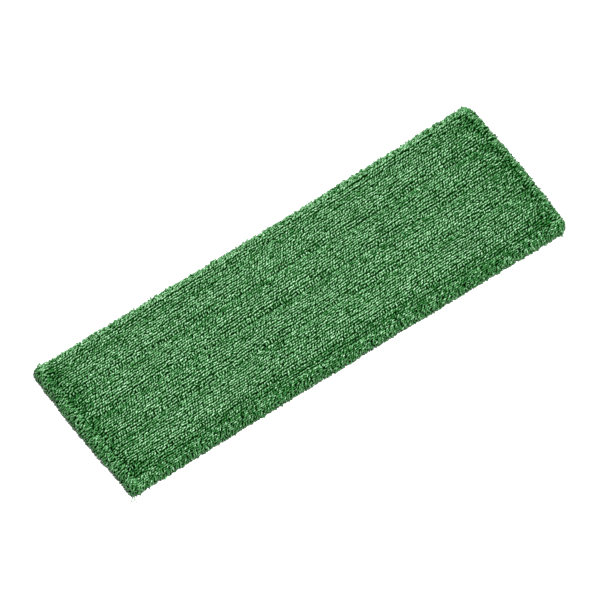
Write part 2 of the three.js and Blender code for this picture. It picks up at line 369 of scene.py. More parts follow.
class Surface:
    """A node material, built by short calls that take numbers, colours or other nodes' outputs."""

    def __init__(self, name):
        self.material = bpy.data.materials.new(name)
        self.material.use_nodes = True
        self.tree = self.material.node_tree
        self.shader = self.tree.nodes["Principled BSDF"]

    def put(self, socket, value):
        if isinstance(value, bpy.types.NodeSocket):
            self.tree.links.new(value, socket)
        else:
            socket.default_value = value

    def add(self, kind, inputs, output=0, **settings):
        """A node of this kind with its inputs set by name or number, and its chosen output."""
        made = self.tree.nodes.new("ShaderNode" + kind)
        for key, value in settings.items():
            setattr(made, key, value)
        for key, value in inputs.items():
            self.put(made.inputs[key], value)
        return made.outputs[output]

    def maths(self, operation, a, b=0.0, c=0.0):
        return self.add("Math", {0: a, 1: b, 2: c}, operation=operation)

    def times(self, a, b, plus=None):
        """The product of a and b, with something added if given."""
        return self.maths("MULTIPLY", a, b) if plus is None else self.maths("MULTIPLY_ADD", a, b, plus)

    def place(self, scale=(1, 1, 1)):
        """The point shaded, in metres in the pad's own frame, times scale."""
        point = self.add("TexCoord", {}, output="Object")
        return self.add("VectorMath", {0: point, 1: scale}, operation="MULTIPLY")

    def noise(self, scale, detail=2.0, stretch=(1, 1, 1), roughness=0.5):
        vector = self.place(stretch)
        inputs = {"Vector": vector, "Scale": scale, "Detail": detail, "Roughness": roughness}
        return self.add("TexNoise", inputs)

    def waves(self, scale, direction="X", distortion=0.0, detail_scale=1.0):
        inputs = {
            "Vector": self.place(), "Scale": scale, "Distortion": distortion, "Detail": 2.0,
            "Detail Scale": detail_scale,
        }
        return self.add("TexWave", inputs, output="Fac", bands_direction=direction)

    def upward(self):
        """How far the surface faces up, from 0 to 1."""
        normal = self.add("NewGeometry", {}, output="Normal")
        return self.times(self.add("SeparateXYZ", {0: normal}, output=2), 0.5, 0.5)

    def ramp(self, factor, stops):
        """A smooth ramp through (position, colour) stops."""
        made = self.tree.nodes.new("ShaderNodeValToRGB")
        elements = made.color_ramp.elements
        while len(elements) < len(stops):
            elements.new(0.5)
        for element, (position, colour) in zip(elements, stops):
            element.position = position
            element.color = (*colour, 1)
        self.put(made.inputs[0], factor)
        return made.outputs[0]

    def mix(self, factor, a, b, blend="MIX"):
        made = self.tree.nodes.new("ShaderNodeMix")
        made.data_type = "RGBA"
        made.blend_type = blend
        for socket, value in ((0, factor), (6, a), (7, b)):
            self.put(made.inputs[socket], (*value, 1) if isinstance(value, tuple) else value)
        return made.outputs[2]

    def bump(self, height, distance, strength=1.0):
        inputs = {"Height": height, "Distance": distance, "Strength": strength}
        self.put(self.shader.inputs["Normal"], self.add("Bump", inputs))

    def finish(self, colour, roughness, specular=0.5, sheen=0.0):
        shader = self.shader.inputs
        self.put(shader["Base Color"], colour)
        self.put(shader["Roughness"], roughness)
        shader["Specular IOR Level"].default_value = specular
        shader["Sheen Weight"].default_value = sheen
        shader["Sheen Roughness"].default_value = 0.4
        return self.material


def yarn_stripes(surface, ply_length, plies):
    """Ridges of a twisted yarn, from 0 to 1, read from its yarn map."""
    yarn = surface.add("UVMap", {}, uv_map="yarn")
    along, around, _ = surface.add("SeparateXYZ", {0: yarn}).node.outputs
    turn = surface.times(around, plies, surface.maths("DIVIDE", along, ply_length))
    wave = surface.maths("SINE", surface.times(turn, 2 * np.pi))
    return surface.times(wave, 0.5, 0.5)


def pile_yarn():
    """Twisted green microfibre, with painted shade towards the root and on the sides that face down, and a
    pale painted highlight at the tip.
    """
    surface = Surface("pile_yarn")
    shade = surface.add("Attribute", {}, output="Fac", attribute_name="shade")
    tip = surface.add("Attribute", {}, output="Fac", attribute_name="tip")
    stripes = yarn_stripes(surface, 1.3, 2)
    fibres = surface.noise(1400, 2, roughness=0.6)
    patches = surface.noise(28, 2)
    tone = surface.times(patches, 0.14, surface.times(shade, 0.7, 0.07))
    green = surface.ramp(tone, [
        (0.0, (0.016, 0.130, 0.021)),
        (0.5, (0.056, 0.350, 0.070)),
        (1.0, (0.165, 0.640, 0.195)),
    ])
    grain = surface.times(stripes, 0.22, surface.times(fibres, 0.3, 0.72))
    # painted shade: the yarn darkens towards the root of each loop, so only its very crest keeps its full
    # green
    depth = surface.ramp(tip, [
        (0.0, (0.03, 0.12, 0.03)),
        (0.7, (0.09, 0.26, 0.09)),
        (0.9, (0.22, 0.43, 0.22)),
        (1.0, (1.0, 1.0, 1.0)),
    ])
    grooves = surface.ramp(grain, [(0.0, (0.0,) * 3), (1.0, (1.0,) * 3)])
    # painted highlight: a pale stroke along the crest of each loop, ridged by the ply stripes and stronger
    # on lighter loops
    crest = surface.ramp(tip, [(0.88, (0.0,) * 3), (1.0, (0.78,) * 3)])
    sheen = surface.times(surface.times(stripes, 0.4, 0.5), crest)
    painted_highlight = surface.times(sheen, surface.times(shade, 1.4, -0.1))
    colour = surface.mix(1.0, surface.mix(1.0, green, depth, "MULTIPLY"), grooves, "MULTIPLY")
    colour = surface.mix(painted_highlight, colour, (0.62, 0.86, 0.64))
    # painted shade on the sides of the yarn, darker the less they face up
    painted_flank_shade = surface.ramp(surface.upward(), [(0.3, (0.34, 0.56, 0.34)), (0.95, (1.0, 1.0, 1.0))])
    colour = surface.mix(1.0, colour, painted_flank_shade, "MULTIPLY")
    surface.bump(surface.times(fibres, 0.4, stripes), 0.00018, 0.8)
    roughness = surface.times(fibres, 0.2, 0.23)
    return surface.finish(colour, roughness, 0.4)


def knitted_ground():
    """The knit that carries the loops, seen only in the partings of the pile, its green darkened as painted
    shade.
    """
    surface = Surface("knitted_ground")
    knit = surface.waves(120.0, "Y", 1.5, 4.0)
    courses = surface.waves(210.0, "X", 1.0)
    weave = surface.times(knit, courses)
    # painted shade: the knit is much darker than the yarn, as the shade deep in the pile
    colour = surface.ramp(weave, [(0.0, (0.004, 0.022, 0.006)), (1.0, (0.020, 0.085, 0.026))])
    surface.bump(weave, 0.0004)
    return surface.finish(colour, 0.85, 0.2)


def hook_receptive_cloth():
    """Pale grey-green looped cloth with fine knitted wales and a matted nap."""
    surface = Surface("hook_receptive_cloth")
    wales = surface.waves(190.0, "X", 2.5)
    nap = surface.noise(900, 4, roughness=0.7)
    worn = surface.noise(22, 3)
    weave = surface.times(wales, 0.45, surface.times(nap, 0.75))
    tone = surface.times(worn, 0.35, surface.times(weave, 0.8))
    colour = surface.ramp(tone, [(0.15, (0.30, 0.35, 0.31)), (0.9, (0.62, 0.67, 0.63))])
    surface.bump(weave, 0.0006)
    return surface.finish(colour, surface.times(nap, 0.15, 0.8), 0.2, 0.4)


def needled_felt():
    """Off-white needled felt of the core, with flecks of longer fibre."""
    surface = Surface("needled_felt")
    fibres = surface.noise(500, 5, (1, 3, 1), 0.75)
    tufts = surface.noise(90, 3)
    tone = surface.times(fibres, 0.7, surface.times(tufts, 0.3))
    colour = surface.ramp(tone, [(0.2, (0.60, 0.59, 0.54)), (0.8, (0.86, 0.86, 0.82))])
    surface.bump(tone, 0.0008)
    return surface.finish(colour, 0.95, 0.1, 0.3)


def sewing_thread():
    """Three-ply polyester sewing thread, smooth and slightly glossy."""
    surface = Surface("sewing_thread")
    stripes = yarn_stripes(surface, 0.8, 3)
    fibres = surface.noise(2500, 2)
    tone = surface.times(stripes, 0.7, surface.times(fibres, 0.3))
    colour = surface.ramp(tone, [(0.0, (0.015, 0.075, 0.022)), (1.0, (0.070, 0.260, 0.090))])
    surface.bump(stripes, 0.00015)
    return surface.finish(colour, surface.times(fibres, 0.2, 0.35), 0.5, 0.1)


def label_satin():
    """Pale woven satin ribbon with a fine weave and slight marks."""
    surface = Surface("label_satin")
    weft = surface.waves(600.0, "X")
    warp = surface.waves(900.0, "Y")
    weave = surface.maths("MAXIMUM", weft, warp)
    marks = surface.noise(60, 4)
    tone = surface.times(weave, 0.35, surface.times(marks, 0.9))
    colour = surface.ramp(tone, [(0.2, (0.24, 0.26, 0.24)), (0.8, (0.40, 0.42, 0.39))])
    surface.bump(weave, 0.0001)
    return surface.finish(colour, surface.times(marks, 0.2, 0.3), 0.5, 0.2)


def pale_floor():
    surface = Surface("pale_floor")
    mottle = surface.noise(9, 2)
    colour = surface.ramp(mottle, [(0.3, (0.89, 0.89, 0.89)), (0.7, (0.92, 0.92, 0.92))])
    return surface.finish(colour, 0.9, 0.1)


# ---- The quilted ground cloth ----

GROUND_SWELL = 2.1     # how far even padding lifts the ground between seams
LOWEST_SWELL = -0.3    # the least and the most that the simulation may lift it
HIGHEST_SWELL = 3.2
START_SHARE = 0.3      # part of the even lift that the simulation starts from
MOMENTS = 20           # that the simulation runs for
COARSE_STEP = 4.2      # between the points of the simulated cloth
FINE_STEP = 2.2        # and of the finished one
GROUND_THICKNESS = 0.5
TURNED_THICKNESS = 0.45     # where the cloth has turned down over the edge
SEWN_Z = GROUND_Z - 0.4     # the ground cloth where a seam holds it down


def between(stops, step):
    """Even grid lines of about one step from each stop to the next."""
    lines = [stops[0]]
    for low, high in zip(stops, stops[1:]):
        lines.extend(np.linspace(low, high, max(1, round((high - low) / step)) + 1)[1:])
    return np.array(lines)


def even_swell(x, y):
    """How far even padding would lift the ground cloth, which is held at the seams and at its rim."""
    to_rim = np.minimum(FLAT_X - np.abs(x), FLAT_Y - np.abs(y))
    rise = np.clip(np.minimum(seam_distance(x, y), to_rim) / QUILT_SLOPE, 0, 1)
    return GROUND_SWELL * (1 - (1 - rise) ** 2)


def simulated_swell(xs, ys):
    """Lift of the ground cloth at the grid lines: held along the seams and blown up from below."""
    x, y = grid(xs, ys)
    points = np.stack([x, y, START_SHARE * even_swell(x, y)], axis=-1).reshape(-1, 3)
    mesh = bpy.data.meshes.new("ground_simulation")
    mesh.from_pydata((points * MM).tolist(), [], grid_quads(len(xs), len(ys)).tolist())
    cloth_object = add_object("ground_simulation", mesh)
    held = seam_distance(x, y).ravel() < 0.01
    held |= (np.abs(x) >= FLAT_X - 0.01).ravel() | (np.abs(y) >= FLAT_Y - 0.01).ravel()
    group = cloth_object.vertex_groups.new(name="held")
    group.add(np.flatnonzero(held).tolist(), 1.0, "REPLACE")
    cloth = cloth_object.modifiers.new("cloth", "CLOTH")
    settings = cloth.settings
    settings.vertex_group_mass = "held"
    settings.quality = 6
    settings.mass = 0.15
    settings.tension_stiffness = settings.compression_stiffness = 6
    settings.shear_stiffness = 3
    settings.bending_stiffness = 0.05
    settings.shrink_min = -0.07
    settings.use_pressure = True
    settings.uniform_pressure_force = 4.0
    settings.effector_weights.gravity = 0
    cloth.point_cache.frame_start = 1
    cloth.point_cache.frame_end = MOMENTS
    for moment in range(1, MOMENTS + 1):
        bpy.context.scene.frame_set(moment)
    evaluated = cloth_object.evaluated_get(bpy.context.evaluated_depsgraph_get())
    lifted = np.empty(len(points) * 3, np.float32)
    evaluated.data.vertices.foreach_get("co", lifted)
    bpy.data.objects.remove(cloth_object)
    bpy.context.scene.frame_set(1)
    lift = lifted.reshape(-1, 3)[:, 2].reshape(len(xs), len(ys)) / MM
    return np.clip(lift, LOWEST_SWELL, HIGHEST_SWELL)


X_STOPS = [-FLAT_X, -BORDER_X, BORDER_X, FLAT_X]
Y_STOPS = [-FLAT_Y, *SEAM_YS, FLAT_Y]
grid_xs = between(X_STOPS, COARSE_STEP)
grid_ys = between(Y_STOPS, COARSE_STEP)
grid_swell = simulated_swell(grid_xs, grid_ys)


def swell(x, y):
    """Lift of the ground cloth at any point, read between the grid lines."""
    x = np.clip(x, -FLAT_X, FLAT_X)
    y = np.clip(y, -FLAT_Y, FLAT_Y)
    i = np.clip(np.searchsorted(grid_xs, x) - 1, 0, len(grid_xs) - 2)
    j = np.clip(np.searchsorted(grid_ys, y) - 1, 0, len(grid_ys) - 2)
    a = (x - grid_xs[i]) / (grid_xs[i + 1] - grid_xs[i])
    b = (y - grid_ys[j]) / (grid_ys[j + 1] - grid_ys[j])
    return read_grid(grid_swell, i, j, a, b)


def ground_height(x, y):
    return SEWN_Z + swell(x, y)


def rolled(distance, flat):
    """Where cloth that runs over the edge ends up, and the angle it has turned there."""
    past = np.maximum(np.abs(distance) - flat, 0) / EDGE_ROLL
    place = np.minimum(np.abs(distance), flat) + EDGE_ROLL * np.sin(np.minimum(past, np.pi / 2))
    return np.sign(distance) * place, past


def ground_cloth():
    """The knitted ground, quilted in the middle and turned down round the edge."""
    turn = EDGE_ROLL * np.linspace(0.3, 2.0, 7)
    xs = np.concatenate([-FLAT_X - turn[::-1], between(X_STOPS, FINE_STEP), FLAT_X + turn])
    ys = np.concatenate([-FLAT_Y - turn[::-1], between(Y_STOPS, FINE_STEP), FLAT_Y + turn])
    x, y = grid(xs, ys)
    plan_x, turned_x = rolled(x, FLAT_X)
    plan_y, turned_y = rolled(y, FLAT_Y)
    turned = np.minimum(np.hypot(turned_x, turned_y), 2.0)
    drop = EDGE_ROLL * np.where(turned < np.pi / 2, 1 - np.cos(turned), turned - np.pi / 2 + 1)
    z = ground_height(plan_x, plan_y) - drop
    top = warp_plan(np.stack([plan_x, plan_y, z], axis=-1))
    inward = TURNED_THICKNESS * np.minimum(turned, 1)
    bottom = top.copy()
    bottom[..., 0] -= inward * np.sign(x) * (turned_x > 0)
    bottom[..., 1] -= inward * np.sign(y) * (turned_y > 0)
    bottom[..., 2] -= GROUND_THICKNESS * (1 - np.minimum(turned, 1))
    make_sheet("pile_ground", top, bottom, knitted_ground(), "pile_cloth")


# ---- The pile ----

LOOP_STEPS = 9
LOOP_WIDTH = 3.45
SHORT_STEPS, SHORT_SIDES = 7, 4     # of the short loops, which are hardly seen
EDGE_TURNS = np.radians([2, 14, 27, 40, 53, 66, 79, 92, 104, 116])     # of its rings of loops
EDGE_PITCH = 2.2       # between the tips of neighbouring loops of a ring
EDGE_DROOP = 5.0       # how strongly the lowest rings hang down
RESTING = 0.65         # how low the middle of a yarn can hang before it lies on the floor
LABEL_ROOM = 0.95      # how much higher it stays where the care label swings out under it
ROOT_DEPTH = 0.3       # how far below the top of the ground cloth a loop starts
RIM_LEAN = 0.2         # how far the tips lean out where the ground cloth starts to turn down
PARTING = 0.2          # how far the tips beside a seam lean away from it
FOLLOW = 0.25          # how much of the wrinkles in the ground cloth still shows in the tips
END_BAND = 12          # distance inside the end seams over which the pile gets unruly and gets painted shade
END_FADE = 38          # and over which painted shade darkens it
FIELD_TONE = 0.52      # shade of the pile in the middle of the pad, from 0 for dark to 1 for light
PAINTED_LEE_SHADE = -0.22       # painted shade, added on the -Y side of the seams and along the -Y edge
EDGE_TONE = 0.41       # shade of the topmost ring of the edge


def loop_paths(base, growth, spread, width, curl, steps):
    """Centre lines of loops that stand on base and reach along growth, narrow at the root."""
    turn = np.linspace(0, np.pi, steps)[None, :, None]
    rise = np.sin(turn) ** 0.7
    opening = np.sign(np.cos(turn)) * np.abs(np.cos(turn)) ** 0.8 * (0.45 + 0.65 * np.sin(turn))
    across = unit(np.cross(growth, spread))
    paths = (
        base[:, None]
        + growth[:, None] * rise
        + spread[:, None] * opening * width[:, None, None] / 2
        + across[:, None] * np.sin(2 * turn) * curl[:, None, None]
    )
    return paths, across


def make_loops(name, base, growth, spread, tone, seed, material, steps=LOOP_STEPS, sides=6, reach=1.0):
    """One piece of pile loops, each with a width, thickness, curl and shade of its own.

    Reach is how near they come to the surface of the pile, which sets how much painted shade and painted
    highlight they get.
    """
    random = np.random.default_rng(seed)
    count = len(base)
    width = np.clip(LOOP_WIDTH + 0.35 * random.standard_normal(count), 2.5, 4.5)
    curl = np.clip(0.22 * random.standard_normal(count), -0.5, 0.5)
    paths, across = loop_paths(base, growth, spread, width, curl, steps)
    lowest = RESTING + LABEL_ROOM * label_cover(base[:, 0], base[:, 1])
    paths[..., 2] = np.maximum(paths[..., 2], lowest[:, None])
    radius = YARN_RADIUS * (1 + 0.14 * np.clip(random.standard_normal(count), -2, 2))
    swelling = np.clip(1 + 0.1 * random.standard_normal((count, steps)), 0.75, 1.3)
    twist = random.uniform(0.5, 1.1, count)
    clump = smooth_noise(base[:, 0], base[:, 1], 9, 5, 21)
    shade = np.clip(tone + 0.19 * random.standard_normal(count) + 0.04 * clump, 0, 1)
    tip = reach * np.sin(np.linspace(0, np.pi, steps)) ** 0.9
    ones = np.ones((count, steps))
    values = {"shade": shade[:, None] * ones, "tip": tip * ones}
    make_tubes(name, paths, radius[:, None] * swelling, material, "pile_cloth", across[:, None],
               0.16, twist, sides, values)


def turned_about(direction, axis, angle):
    """Directions turned about unit axes that are square to them."""
    angle = angle[:, None]
    return direction * np.cos(angle) + np.cross(axis, direction) * np.sin(angle)


def square_to(direction, axis):
    """The part of each direction that is square to its unit axis, made unit."""
    return unit(direction - axis * np.sum(direction * axis, axis=1, keepdims=True))


def field_plan(random):
    """Roots of the loops on the flat of the ground cloth: whole lines between one seam and the next."""
    places = []
    for low, high in zip(Y_STOPS, Y_STOPS[1:]):
        count = round((high - low) / LINE_PITCH)
        pitch = (high - low) / count
        for line in range(count):
            upper = line % 2
            x = np.arange(-FLAT_X, FLAT_X, LOOP_PITCH) + upper * STAGGER * LOOP_PITCH
            x = x + 0.2 * random.standard_normal(len(x))
            y = low + (line + 0.5 + PAIRING * (1 - 2 * upper)) * pitch
            y = y + 0.15 * random.standard_normal(len(x))
            x = x + 0.6 * smooth_noise(x, y, 25, 20, 33)
            y = y + 0.45 * smooth_noise(x, y, 22, 30, 31) + 0.25 * smooth_noise(x, y, 8, 24, 32)
            places.append(np.stack([x, y], axis=1))
    plan = np.concatenate(places)
    x, y = plan.T
    return plan[(quilt_distance(y) > 0.15) & (np.abs(x) < FLAT_X) & (np.abs(y) < FLAT_Y)]


def field_loops(random):
    """Roots, growth, spread and tone of the loops on the flat of the ground cloth."""
    x, y = field_plan(random).T
    count = len(x)
    past_end, past_side = past_border(x, y)
    near_end = np.clip((past_end + END_BAND) / (END_BAND + 2), 0, 1)
    rim_x = np.sign(x) * np.clip(past_end / (FLAT_X - BORDER_X), 0, 1)
    band = np.where(y > 0, FLAT_Y - BORDER_YS[1], FLAT_Y + BORDER_YS[0])
    rim_y = np.sign(y) * np.clip(past_side / band, 0, 1)
    off_seam = y - nearest_seam(y)
    parting = PARTING * np.sign(off_seam) * hump(off_seam, 2.6)
    wrinkle = swell(x, y) - even_swell(x, y)
    length = tip_height(x, y) - SEWN_Z - even_swell(x, y) - (1 - FOLLOW) * wrinkle
    length = length * (1 + 0.045 * random.standard_normal(count))
    length = length - 0.6 * near_end * random.random(count)
    lean_x = 0.25 * smooth_noise(x, y, 32, 17, 41) + (0.17 + 0.4 * near_end) * random.standard_normal(count)
    lean_y = 0.12 * smooth_noise(x, y, 26, 12, 42) + (0.12 + 0.2 * near_end) * random.standard_normal(count)
    lean_x = lean_x + 0.6 * RIM_LEAN * rim_x
    lean_y = lean_y + RIM_LEAN * rim_y + parting
    growth = np.stack([lean_x, lean_y, length], axis=1)
    base = np.stack([x, y, ground_height(x, y) - ROOT_DEPTH], axis=1)
    combed = 55 * (off_seam > 0) * (off_seam < 2.2) * (y < BORDER_YS[1]) * (random.random(count) < 0.55)
    drift = 15 + 9 * smooth_noise(x, y, 40, 14, 43)
    yaw = np.radians(drift + combed + (7 + 10 * near_end) * random.standard_normal(count))
    spread = np.stack([np.cos(yaw), np.sin(yaw), np.zeros(count)], axis=1)
    # painted shade: darker towards the ends and again close to them
    tone = FIELD_TONE - 0.16 * np.clip((past_end + END_FADE) / (END_FADE + 2), 0, 1) - 0.14 * near_end
    # painted shade on the -Y side of each seam and outside the -Y border seam
    tone = tone + PAINTED_LEE_SHADE * np.where(y < BORDER_YS[0] - 0.5, 1, hump(off_seam + 3.7, 3.2))
    return base, growth, square_to(spread, unit(growth)), tone


def short_loops(loops, random):
    """Shorter loops that stand between the others and close the pile."""
    base, growth, spread, tone = loops
    base = base + (LOOP_PITCH / 2, LINE_PITCH / 2, 0)
    growth = growth * random.uniform(0.55, 0.75, (len(base), 1))
    yaw = random.uniform(0.2, 1.2, len(base))
    spread = turned_about(spread, unit(growth), yaw)
    x, y = base[:, 0], base[:, 1]
    inside = (seam_distance(x, y) > 0.7) & (np.abs(x) < FLAT_X) & (np.abs(y) < FLAT_Y)
    # tone - 0.1: painted shade on these shorter loops, which sit down among the others
    return [values[inside] for values in (base, growth, spread, tone - 0.1)]


def edge_loops(random):
    """Roots, growth, spread and tone of the loops that fan out from the turned-down edge."""
    bases, growths, spreads, tones = [], [], [], []
    middle_z = SEWN_Z - EDGE_ROLL
    for turn in EDGE_TURNS:
        places, outs = ring_points(FLAT_X, FLAT_Y, CORNER, EDGE_PITCH, EDGE_REACH)
        count = len(places)
        ahead = np.stack([-outs[:, 1], outs[:, 0]], axis=1)
        places = places + ahead * random.uniform(-1, 1, count)[:, None] * 0.9
        top = tip_height(*(places + outs * 2).T) - middle_z
        reach = EDGE_REACH * np.sin(turn) ** 0.9
        rise = np.where(np.cos(turn) > 0, top * np.abs(np.cos(turn)) ** 0.85, EDGE_DROOP * np.cos(turn))
        root = np.full(count, middle_z + EDGE_ROLL * np.cos(turn))
        base = np.column_stack([places + outs * EDGE_ROLL * np.sin(turn), root])
        tip = np.column_stack([places + outs * reach, middle_z + rise])
        uneven = (0.05 + 0.06 * np.sin(turn)) * np.clip(random.standard_normal(count), -2, 2)
        growth = (tip - base) * (1 + uneven)[:, None]
        growth[:, :2] += ahead * (0.35 * random.standard_normal(count))[:, None]
        axis = unit(growth)
        along_edge = square_to(np.column_stack([ahead, np.zeros(count)]), axis)
        on_end = np.abs(outs[:, 0]) > 0.7
        combed = 0.31 + np.clip(turn - 0.6, 0, 0.9)
        yaw = (0.15 + 0.15 * turn) * random.standard_normal(count) + np.where(on_end, 1.75, combed)
        bases.append(base - ROOT_DEPTH * axis)
        growths.append(growth)
        spreads.append(turned_about(along_edge, axis, yaw))
        near_side = outs[:, 1] < -0.7
        patchy = (0.02 + 0.2 * near_side) * random.standard_normal(count)
        # painted shade: lower rings, the ends and the -Y side are darker; patchy is a random tone of its own
        tones.append(EDGE_TONE - 0.13 * turn - 0.15 * on_end - (0.13 + 0.07 * turn) * near_side + patchy)
    return [np.concatenate(parts) for parts in (bases, growths, spreads, tones)]


def quarters(base):
    """The loops of each quarter of the pad, by the name of the quarter."""
    left, near = base[:, 0] < 0, base[:, 1] < 0
    return {
        "near_left": near & left,
        "near_right": near & ~left,
        "far_left": ~near & left,
        "far_right": ~near & ~left,
    }


def make_parts(parts, loops, first_seed, material, **settings):
    """A piece for each name in parts, made of the loops that it chooses."""
    for index, (name, chosen) in enumerate(parts.items()):
        make_loops(name, *(values[chosen] for values in loops), first_seed + index, material, **settings)


def make_pile():
    """All the pile: two pieces to each channel and outer band, and more for the rest."""
    material = pile_yarn()
    loops = field_loops(np.random.default_rng(5))
    base = loops[0]
    channel = np.searchsorted(SEAM_YS, base[:, 1])
    outside = np.abs(base[:, 0]) >= BORDER_X
    left = base[:, 0] < 0
    parts = {}
    for index in range(len(Y_STOPS) - 1):
        name = {0: "near_band", len(SEAM_YS): "far_band"}.get(index, f"channel_{index}")
        inside = (channel == index) & ~outside
        parts[f"pile_{name}_left"] = inside & left
        parts[f"pile_{name}_right"] = inside & ~left
    parts["pile_left_band"] = outside & left
    parts["pile_right_band"] = outside & ~left
    make_parts(parts, loops, 100, material)

    loops = short_loops(loops, np.random.default_rng(7))
    parts = {f"pile_short_{name}": chosen for name, chosen in quarters(loops[0]).items()}
    make_parts(parts, loops, 130, material, steps=SHORT_STEPS, sides=SHORT_SIDES, reach=0.93)

    loops = edge_loops(np.random.default_rng(6))
    base = loops[0]
    on_end = np.abs(base[:, 0]) - FLAT_X > np.abs(base[:, 1]) - FLAT_Y
    parts = {f"pile_edge_{name}": chosen & ~on_end for name, chosen in quarters(base).items()}
    parts["pile_edge_left"] = on_end & (base[:, 0] < 0)
    parts["pile_edge_right"] = on_end & (base[:, 0] >= 0)
    make_parts(parts, loops, 120, material)


# ---- The back and the core ----

BACK_INSET = 5.2       # from the pile tips to the cut edge of the back
FELT_INSET = 7.6       # and to that of the felt
BACK_X, BACK_Y = HALF_LENGTH - BACK_INSET, HALF_WIDTH - BACK_INSET
CLOTH_THICKNESS = 0.6  # of the back cloth where a seam lifts it
BEVEL = 5.3            # width over which the overlock squeezes the edge of the back
RIM_Z = 1.25           # height of the back's underside at its cut edge
SEAM_DENT = 1.0        # how deep the seams pull into the back
LABEL_CLEAR = label_high[2] + 0.33     # room over the label for the stitches that cross it


def back_underside(x, y):
    """Height of the back's lower face: flat, puckered at the seams and squeezed at the edge."""
    dimple = 0.8 + 0.2 * np.cos(2 * np.pi * x / STITCH)
    dent = SEAM_DENT * hump(seam_distance(x, y), 1.7) * dimple
    to_rim = np.minimum(BACK_X - np.abs(x), BACK_Y - np.abs(y))
    squeeze = np.clip(1 - to_rim / BEVEL, 0, 1)
    bevel = RIM_Z * squeeze * squeeze * (3 - 2 * squeeze)
    slack = 0.09 * (1 + smooth_noise(x, y, 9, 7, 51))
    return np.maximum(np.maximum(dent, bevel) + slack, LABEL_CLEAR * label_cover(x, y))


def back_cloth():
    """The hook-receptive back, one cloth with everything that pulls it out of flat."""
    xs = np.linspace(-BACK_X, BACK_X, 401)
    ys = between([-BACK_Y, *SEAM_YS, BACK_Y], 1.15)
    x, y = grid(xs, ys)
    below = back_underside(x, y)
    above = np.maximum(BACK_TOP, below + CLOTH_THICKNESS)
    top = warp_plan(np.stack([x, y, above], axis=-1))
    bottom = warp_plan(np.stack([x, y, below], axis=-1))
    make_sheet("back_cloth", top, bottom, hook_receptive_cloth(), "loop_backing")


def felt_core():
    """The needled felt between the cloths, squeezed where the seams go through it."""
    half_x, half_y = HALF_LENGTH - FELT_INSET, HALF_WIDTH - FELT_INSET
    xs = between([-half_x, -BORDER_X, BORDER_X, half_x], 2.5)
    ys = between([-half_y, *SEAM_YS, half_y], 2.5)
    x, y = grid(xs, ys)
    ragged = 0.5 * smooth_noise(x, y, 4, 4, 52)
    on_rim = (np.abs(x) > half_x - 0.01) | (np.abs(y) > half_y - 0.01)
    plan_x = x + ragged * on_rim * np.sign(x)
    plan_y = y + ragged * on_rim * np.sign(y)
    above = ground_height(x, y) - 0.8 + 0.08 * smooth_noise(x, y, 3, 3, 53)
    below = np.maximum(BACK_TOP, back_underside(x, y) + CLOTH_THICKNESS) + 0.1
    top = warp_plan(np.stack([plan_x, plan_y, above], axis=-1))
    bottom = warp_plan(np.stack([plan_x, plan_y, np.minimum(below, above - 0.3)], axis=-1))
    make_sheet("felt_core", top, bottom, needled_felt(), "absorbent_core")


# ---- The sewing ----

STITCH_STEPS = 9
LOOPER_STEPS = 13
LOOPER_INSET = 8.0     # from the pile tips to where the loopers start
LOOPER_REACH = 3.25    # how far the lower looper goes out from there, to the cut edge
LOOPER_HEIGHT = 0.82   # of the lower looper where it starts
NEEDLE_INSET = 8.2     # from the pile tips to the needle line that holds both loopers
TAIL_STEPS = 14
TAIL_LENGTH = 8.5


def with_height(plan, z):
    """Points of a plan, (..., 2), with a height for each."""
    return np.concatenate([plan, np.broadcast_to(z[..., None], (*plan.shape[:-1], 1))], axis=-1)


def lock_stitches(name, start, end, height, outward, material, node, seed):
    """One side of a lockstitch seam: each stitch lies on the cloth and dives into it at both ends."""
    random = np.random.default_rng(seed)
    count = len(start)
    s = np.linspace(0.04, 0.96, STITCH_STEPS)[None, :, None]
    plan = start[:, None] * (1 - s) + end[:, None] * s
    ahead = unit(end - start)
    aside = np.stack([-ahead[:, 1], ahead[:, 0]], axis=1)[:, None]
    skew = 0.16 + 0.05 * random.standard_normal(count)
    plan = plan + aside * skew[:, None, None] * np.cos(np.pi * s)
    proud = np.sin(np.pi * s[..., 0]) ** 0.5
    surface = height(plan[..., 0], plan[..., 1])
    z = surface + outward * (0.5 * proud - 0.36 + 0.04 * random.standard_normal(count)[:, None])
    radii = THREAD_RADIUS * (1 + 0.06 * random.standard_normal((count, STITCH_STEPS)))
    make_tubes(name, with_height(plan, z), radii, material, node)


def seam_height(x, y):
    """Height of the pile side of the ground cloth under a stitch."""
    return np.full_like(x, GROUND_Z - 0.1)


def seam(kind, start, end, material, seed, suffix=""):
    """A lockstitch seam: needle thread on the pile side and bobbin thread on the back."""
    for side, height, outward in (("needle", seam_height, 1), ("bobbin", back_underside, -1)):
        lock_stitches(f"{kind}_{side}_stitches{suffix}", start, end, height, outward, material,
                      f"{kind}_{side}_thread{suffix}", seed)
        seed += 10


def seams(material):
    """The three quilting seams along the pad, and the one round it inside its edge."""
    along = np.linspace(-BORDER_X, BORDER_X, round(2 * BORDER_X / STITCH) + 1)
    for index, y in enumerate(QUILT_YS, 1):
        holes = np.stack([along, np.full_like(along, y)], axis=1)
        seam("quilt", holes[:-1], holes[1:], material, 60 + index, f"_{index}")
    holes = ring_points(BORDER_X, BORDER_HALF, SEAM_CORNER, STITCH, middle_y=BORDER_MIDDLE)[0]
    seam("border", holes, np.roll(holes, -1, axis=0), material, 64)


